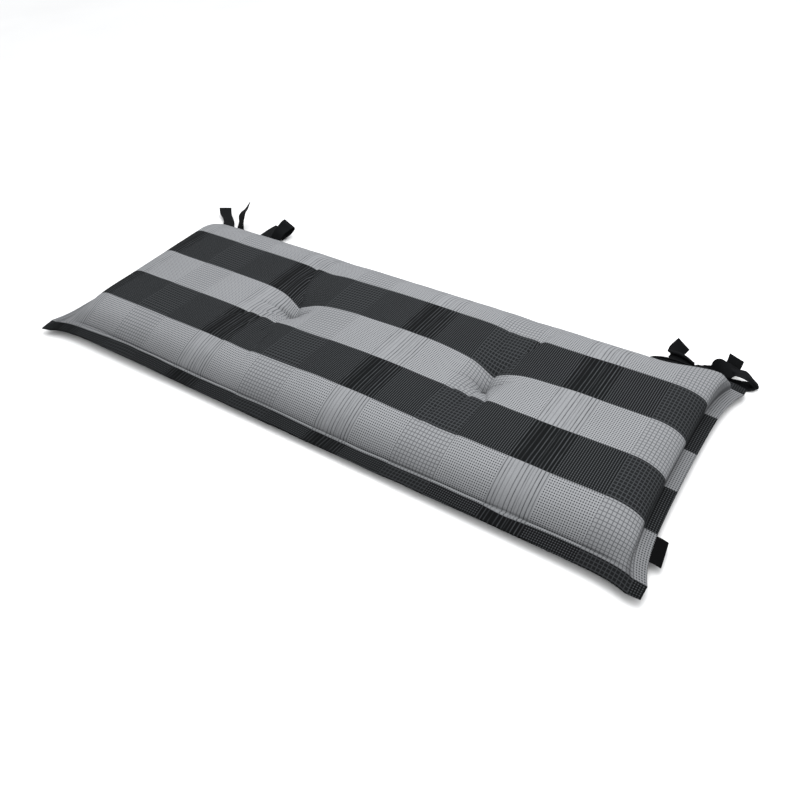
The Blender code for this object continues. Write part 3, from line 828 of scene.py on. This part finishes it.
def make_knot(material):
    """The wound tape of the knot: a flattened lump with turns of tape standing proud."""
    verts, uvs = [], []
    for r in range(KNOT_RINGS + 1):
        polar = math.pi * r / KNOT_RINGS
        for s in range(KNOT_SIDES):
            turn = 2 * math.pi * s / KNOT_SIDES
            out = math.sin(polar)
            direction = Vector((math.cos(polar), out * math.cos(turn), out * math.sin(turn)))
            squared = [math.copysign(abs(c) ** KNOT_SQUARENESS, c) for c in direction]
            wrap = KNOT_LEAST + KNOT_WRAP * math.cos(KNOT_WRAPS * polar + KNOT_SLANT * math.sin(turn)) ** 2
            verts.append([KNOT_CENTRE[k] + KNOT_HALF_SIZE[k] * squared[k] * wrap for k in range(3)])
            uvs.append((polar * KNOT_PLACES[0], turn * KNOT_PLACES[1]))
    obj = new_object("tape_knot", verts, tube_faces(KNOT_RINGS + 1, KNOT_SIDES), uvs, material)
    fix_normals(obj, merged=True)
    return obj


def make_thread(name, points, material):
    """A short end of tufting thread as a thin tube."""
    curve = bpy.data.curves.new(name, "CURVE")
    curve.dimensions = "3D"
    curve.bevel_depth = THREAD_RADIUS
    curve.bevel_resolution = 2
    curve.use_fill_caps = True
    spline = curve.splines.new("POLY")
    spline.points.add(len(points) - 1)
    for k, point in enumerate(points):
        spline.points[k].co = (*point, 1.0)
    guide = added(name + "_guide", curve)
    graph = bpy.context.evaluated_depsgraph_get()
    mesh = bpy.data.meshes.new_from_object(guide.evaluated_get(graph), depsgraph=graph)
    bpy.data.objects.remove(guide)
    mesh.name = name
    mesh.materials.clear()
    mesh.materials.append(material)
    return added(name, mesh)


def cover_height(x, y):
    """The cover's top at a place well inside the seams, found by nearing its cloth point."""
    u, v = x, y
    for _ in range(12):
        px, py, pz = cover_points(np.array([u]), np.array([v]))
        u, v = u + (x - float(px[0])) * 0.8, v + (y - float(py[0])) * 0.8
    return float(pz[0])


def thread_places():
    """The loose end of thread in the right tuft: a small hook that stands just clear of the cloth."""
    tuft = TUFTS[1]
    places = []
    for step in range(THREAD_STEPS + 1):
        along = step / THREAD_STEPS
        x = tuft["x"] + THREAD_START[0] + THREAD_REACH * along
        y = tuft["y"] + THREAD_START[1] + THREAD_BOW * math.sin(math.pi * along)
        clear = THREAD_CLEAR + THREAD_RISE * math.sin(math.pi * min(1.0, THREAD_HOOK * along))
        places.append((x, y, cover_height(x, y) + clear))
    return places


# -------- materials


class Nodes:
    """Short calls for building a material's node tree."""

    def __init__(self, name):
        self.material = bpy.data.materials.new(name)
        self.material.use_nodes = True
        self.tree = self.material.node_tree
        self.shader = self.tree.nodes["Principled BSDF"]

    def node(self, kind, **settings):
        made = self.tree.nodes.new(kind)
        for key, value in settings.items():
            setattr(made, key, value)
        return made

    def link(self, value, socket):
        if isinstance(value, bpy.types.NodeSocket):
            self.tree.links.new(value, socket)
        else:
            socket.default_value = value

    def fill(self, node, values):
        """Sets or links each named input, and gives the node's first output."""
        for name, value in values.items():
            self.link(value, node.inputs[name])
        return node.outputs[0]

    def math(self, operation, *values):
        made = self.node("ShaderNodeMath", operation=operation)
        for k, value in enumerate(values):
            self.link(value, made.inputs[k])
        return made.outputs[0]

    def times(self, first, second):
        return self.math("MULTIPLY", first, second)

    def times_plus(self, value, share, base):
        return self.math("MULTIPLY_ADD", value, share, base)

    def rest(self, share):
        return self.math("SUBTRACT", 1.0, share)

    def step(self, value, low, high):
        made = self.node("ShaderNodeMapRange", interpolation_type="SMOOTHSTEP")
        return self.fill(made, {"Value": value, "From Min": low, "From Max": high})

    def mix(self, share, first, second):
        made = self.node("ShaderNodeMix", data_type="RGBA")
        self.fill(made, {"Factor": share, "A": first, "B": second})
        return made.outputs["Result"]

    def place(self):
        """The two coordinates of the piece's UV map."""
        source = self.node("ShaderNodeUVMap", uv_map="cloth")
        parts = self.node("ShaderNodeSeparateXYZ")
        self.tree.links.new(source.outputs[0], parts.inputs[0])
        return parts.outputs["X"], parts.outputs["Y"]

    def streaks(self, u, v, scale):
        """Noise drawn out across the cloth: fine from line to line, long along each line."""
        scaled = {"X": self.times(u, scale), "Y": self.times(v, STREAK_SCALE_ACROSS)}
        together = self.fill(self.node("ShaderNodeCombineXYZ"), scaled)
        made = self.node("ShaderNodeTexNoise", noise_dimensions="2D")
        return self.fill(made, {"Vector": together, "Scale": 1.0, "Detail": 2.0})

    def object_noise(self, scale, detail=2.0):
        places = self.node("ShaderNodeTexCoord").outputs["Object"]
        made = self.node("ShaderNodeTexNoise")
        return self.fill(made, {"Vector": places, "Scale": scale, "Detail": detail})

    def bump(self, height, distance, strength=1.0, after=None):
        values = {"Strength": strength, "Distance": distance, "Height": height}
        if after is not None:
            values["Normal"] = after
        return self.fill(self.node("ShaderNodeBump"), values)

    def finish(self, colour, roughness, shine, relief=None):
        """Fills in the shader, and gives the material."""
        values = {"Base Color": colour, "Roughness": roughness, "Specular IOR Level": shine}
        if relief is not None:
            values["Normal"] = relief
        self.fill(self.shader, values)
        return self.material


def lines_ramp(nodes, share, places):
    """Some of the thin woven lines of a band: a ramp from the band's left side to its right side."""
    ramp = nodes.node("ShaderNodeValToRGB")
    nodes.link(share, ramp.inputs[0])
    elements = ramp.color_ramp.elements
    for k in (0, 1):
        elements[k].position, elements[k].color = k, (0, 0, 0, 1)
    for place, strength in places:
        for side, level in ((-1, 0.0), (0, strength), (1, 0.0)):
            stop = elements.new((place + side * LINE_HALF_WIDTH) / (2 * LINES_HALF_WIDTH) + 0.5)
            stop.color = (level, level, level, 1)
    return ramp.outputs[0]


def band(nodes, u, centre, half_width):
    """A band that repeats along the cloth: the place across it, and 1 inside it."""
    half = PATTERN_PERIOD / 2
    across = nodes.math("WRAP", nodes.math("SUBTRACT", u, centre), half, -half)
    from_centre = nodes.math("ABSOLUTE", across)
    return across, nodes.step(from_centre, half_width + BAND_BLUR, half_width - BAND_BLUR)


def off_centre(nodes, value, pitch):
    """How far a place lies from the middle of its cell, 0 to 0.5."""
    cell = nodes.math("FRACT", nodes.times_plus(value, 1 / pitch, 0.5))
    return nodes.math("ABSOLUTE", nodes.math("SUBTRACT", cell, 0.5))


def cloth_material():
    nodes = Nodes("striped_cloth")
    step, times, times_plus = nodes.step, nodes.times, nodes.times_plus
    u, v = nodes.place()
    from_middle_along, from_middle = nodes.math("ABSOLUTE", u), nodes.math("ABSOLUTE", v)

    # Wide stripes along the length
    inner, outer, hem = (step(from_middle, edge - STRIPE_BLUR, edge + STRIPE_BLUR) for edge in STRIPE_EDGES)
    dark = nodes.math("ADD", nodes.math("SUBTRACT", inner, outer), hem)

    def by_stripe(on_light, on_dark):
        return times_plus(dark, on_dark - on_light, on_light)

    # The hem, pressed flat outside the seams
    beyond_end = step(from_middle_along, *(SEAM_HALF_LENGTH + out for out in HEM_FROM_END))
    beyond_side = step(from_middle, *(SEAM_HALF_DEPTH + out for out in HEM_FROM_SIDE))
    flattened = nodes.math("MAXIMUM", beyond_end, beyond_side)
    filled = nodes.rest(flattened)

    # Bands across them: fine lines, squares, and dots everywhere else
    lines_place, in_lines = band(nodes, u, LINES_CENTRE, LINES_HALF_WIDTH)
    _, in_squares = band(nodes, u, SQUARES_CENTRE, SQUARES_HALF_WIDTH)
    share = times_plus(lines_place, 0.5 / LINES_HALF_WIDTH, 0.5)
    lines = nodes.math("ADD", lines_ramp(nodes, share, LEFT_LINES), lines_ramp(nodes, share, RIGHT_LINES))
    streaks = nodes.streaks(u, v, STREAK_SCALE)
    lines = times(lines, times_plus(streaks, *STREAKS_IN_LINES))
    lines = times_plus(lines, LINES_SHARE, by_stripe(LINES_BASE_ON_LIGHT, LINES_BASE_ON_DARK))
    lines = times_plus(streaks, STREAKS_OVER_BAND, lines)

    square_u, square_v = off_centre(nodes, u, SQUARE_PITCH[0]), off_centre(nodes, v, SQUARE_PITCH[1])
    grid = step(nodes.math("MAXIMUM", square_u, square_v), *SQUARE_EDGE)
    grid = times_plus(grid, by_stripe(GRID_ON_LIGHT, GRID_ON_DARK), SQUARES_LIFT)

    # The dots are round on light cloth and on the hem, and short dashes on dark cloth
    dot_u, dot_v = off_centre(nodes, u, DOT_PITCH[0]), off_centre(nodes, v, DOT_PITCH[1])
    squared = nodes.math("ADD", nodes.math("POWER", dot_u, 2.0), nodes.math("POWER", dot_v, 2.0))
    dots = step(nodes.math("SQRT", squared), *DOT_EDGE)
    dashes = times(step(dot_u, *DASH_EDGE_ALONG), step(dot_v, *DASH_EDGE_ACROSS))
    dashed = times(dark, filled)
    dots = times(dots, nodes.rest(dashed))
    dots = times_plus(times(dashes, DASHES_ON_DARK), dashed, dots)

    other = nodes.math("SUBTRACT", nodes.rest(in_lines), in_squares)
    figure = times_plus(in_squares, grid, times(in_lines, lines))
    figure = times_plus(other, dots, figure)
    light_cloth = nodes.mix(figure, LIGHT_THREAD, LIGHT_FIGURE)
    dark_cloth = nodes.mix(figure, DARK_THREAD, DARK_FIGURE)

    # Shade: a mottle of tone, and painted shade on the hem, the front flank and by the end seams
    mottle = step(nodes.object_noise(MOTTLE_SCALE, MOTTLE_DETAIL), *MOTTLE_RANGE)
    tone_and_painted_shade = times_plus(mottle, *MOTTLE_SHADE)
    # Painted shade on the hem, more on the front and back hem
    hem_painted_shade = times_plus(beyond_side, SIDE_HEM_PAINTED_SHADE - HEM_PAINTED_SHADE, HEM_PAINTED_SHADE)
    tone_and_painted_shade = nodes.math("SUBTRACT", tone_and_painted_shade, times(flattened, hem_painted_shade))
    # Painted shade on the front flank, darkest by the front seam
    on_flank = times(step(v, *FLANK_PAINTED_SHADE_RANGE), filled)
    tone_and_painted_shade = times_plus(on_flank, -FLANK_PAINTED_SHADE, tone_and_painted_shade)
    # Painted shade next to the end seams
    to_end_seam = nodes.math("SUBTRACT", SEAM_HALF_LENGTH, from_middle_along)
    by_end_seam = times(step(to_end_seam, *SEAM_PAINTED_SHADE_RANGE), filled)
    tone_and_painted_shade = times_plus(by_end_seam, -SEAM_PAINTED_SHADE, tone_and_painted_shade)
    cloth = {"Value": tone_and_painted_shade, "Color": nodes.mix(dark, light_cloth, dark_cloth)}
    shaded = nodes.fill(nodes.node("ShaderNodeHueSaturation"), cloth)

    # Relief: the figure, the crinkled bands, and the threads themselves
    wave = 2 * math.pi / WEAVE_PITCH
    threads = times(nodes.math("SINE", times(u, wave)), nodes.math("SINE", times(v, wave)))
    relief = times_plus(figure, -1.0, times(threads, WEAVE_RELIEF))
    relief = nodes.bump(relief, FIGURE_DEPTH, FIGURE_BUMP)
    crinkle = times(in_lines, nodes.streaks(u, v, CRINKLE_SCALE))
    relief = nodes.bump(crinkle, CRINKLE_DEPTH, 1.0, relief)
    return nodes.finish(shaded, **CLOTH_LOOK, relief=relief)


def tape_material(name, colour, rib, roughness, shine):
    """Woven tape: narrow ribs along it and a fine weft across."""
    nodes = Nodes(name)
    across, along = nodes.place()
    ribs = nodes.math("SINE", nodes.times(across, 2 * math.pi / rib))
    weft = nodes.math("SINE", nodes.times(along, 2 * math.pi / (rib * WEFT_TO_RIB)))
    weave = nodes.times_plus(nodes.times(ribs, weft), 0.5, 0.5)
    lighter = tuple(TAPE_HIGHS * c for c in colour)
    base = nodes.mix(weave, (*colour, 1), (*lighter, 1))
    return nodes.finish(base, roughness, shine, nodes.bump(weave, TAPE_RELIEF, TAPE_BUMP))


def thread_material():
    nodes = Nodes("tuft_thread")
    return nodes.finish(nodes.mix(nodes.object_noise(THREAD_GRAIN), *THREAD_COLOURS), **THREAD_LOOK)


def floor_material():
    nodes = Nodes("pale_floor")
    grain = nodes.step(nodes.object_noise(FLOOR_GRAIN), *FLOOR_GRAIN_RANGE)
    return nodes.finish(nodes.mix(grain, *FLOOR_COLOURS), **FLOOR_LOOK)


# -------- stage


def make_floor():
    mesh = bpy.data.meshes.new("studio_floor")
    corners = [(-1, -1), (1, -1), (1, 1), (-1, 1)]
    mesh.from_pydata([(x * FLOOR_HALF_SIZE, y * FLOOR_HALF_SIZE, 0) for x, y in corners], [], [(0, 1, 2, 3)])
    mesh.materials.append(floor_material())
    floor = added("studio_floor", mesh)
    floor.location.z = -FLOOR_DROP


def make_sky():
    """White all round, and brighter overhead."""
    world = bpy.data.worlds.new("studio")
    bpy.context.scene.world = world
    world.use_nodes = True
    tree = world.node_tree
    background = tree.nodes["Background"]
    direction = tree.nodes.new("ShaderNodeTexCoord")
    parts = tree.nodes.new("ShaderNodeSeparateXYZ")
    tree.links.new(direction.outputs["Generated"], parts.inputs[0])
    strength = tree.nodes.new("ShaderNodeMapRange")
    strength.interpolation_type = "SMOOTHSTEP"
    limits = (*SKY_RANGE, SKY_AT_HORIZON, SKY_OVERHEAD)
    for name, limit in zip(("From Min", "From Max", "To Min", "To Max"), limits):
        strength.inputs[name].default_value = limit
    tree.links.new(parts.outputs["Z"], strength.inputs["Value"])
    tree.links.new(strength.outputs[0], background.inputs["Strength"])
    background.inputs["Color"].default_value = (1, 1, 1, 1)


def make_key_light():
    """A soft square light overhead, turned to the middle of the cushion."""
    light = bpy.data.lights.new("key", "AREA")
    light.shape = "RECTANGLE"
    light.size = light.size_y = KEY_SIZE
    light.energy = KEY_POWER
    key = added("key", light)
    key.location = KEY_PLACE
    key.rotation_euler = (-Vector(KEY_PLACE)).to_track_quat("-Z", "Y").to_euler()


def make_camera():
    data = bpy.data.cameras.new("camera")
    data.lens = CAMERA_LENS
    data.sensor_width = CAMERA_SENSOR
    data.clip_start, data.clip_end = CAMERA_RANGE
    ahead = math.cos(CAMERA_PITCH)
    forward = Vector((-math.sin(CAMERA_YAW) * ahead, math.cos(CAMERA_YAW) * ahead, -math.sin(CAMERA_PITCH)))
    level = forward.cross(Vector((0, 0, 1))).normalized()
    upright = level.cross(forward)
    right = math.cos(CAMERA_ROLL) * level + math.sin(CAMERA_ROLL) * upright
    up = -math.sin(CAMERA_ROLL) * level + math.cos(CAMERA_ROLL) * upright
    camera = added("camera", data)
    turned = Matrix((right, up, -forward)).transposed().to_4x4()
    camera.matrix_world = Matrix.Translation(CAMERA_PLACE) @ turned
    bpy.context.scene.camera = camera


# -------- the scene


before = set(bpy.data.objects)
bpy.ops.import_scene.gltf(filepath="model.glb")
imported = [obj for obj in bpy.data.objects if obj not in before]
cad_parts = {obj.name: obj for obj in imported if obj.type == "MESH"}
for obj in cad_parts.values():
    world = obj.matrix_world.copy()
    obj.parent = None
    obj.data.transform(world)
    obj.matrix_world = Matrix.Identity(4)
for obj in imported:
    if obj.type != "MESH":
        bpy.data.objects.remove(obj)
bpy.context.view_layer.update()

striped = cloth_material()
black_tape = tape_material("tape_cloth", **TAPE_LOOK)
label_tape = tape_material("label_cloth", **LABEL_LOOK)
thread = thread_material()

cushion = make_cushion(striped)
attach(cushion, "root")
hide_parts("cushion")

label, label_length = make_label(label_tape)
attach(label, "root")
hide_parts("label")

for name, rows in TIES.items():
    tape, length = make_tape(name.replace("tie_", "tape_"), rows, black_tape)
    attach(tape, "root")
    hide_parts(name)

knot = make_knot(black_tape)
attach(knot, "root")
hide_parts("tie_knot")

thread_end = make_thread("tuft_thread", thread_places(), thread)
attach(thread_end, "root")

make_floor()
make_sky()
make_key_light()
make_camera()
bpy.context.scene.view_settings.view_transform = "Standard"
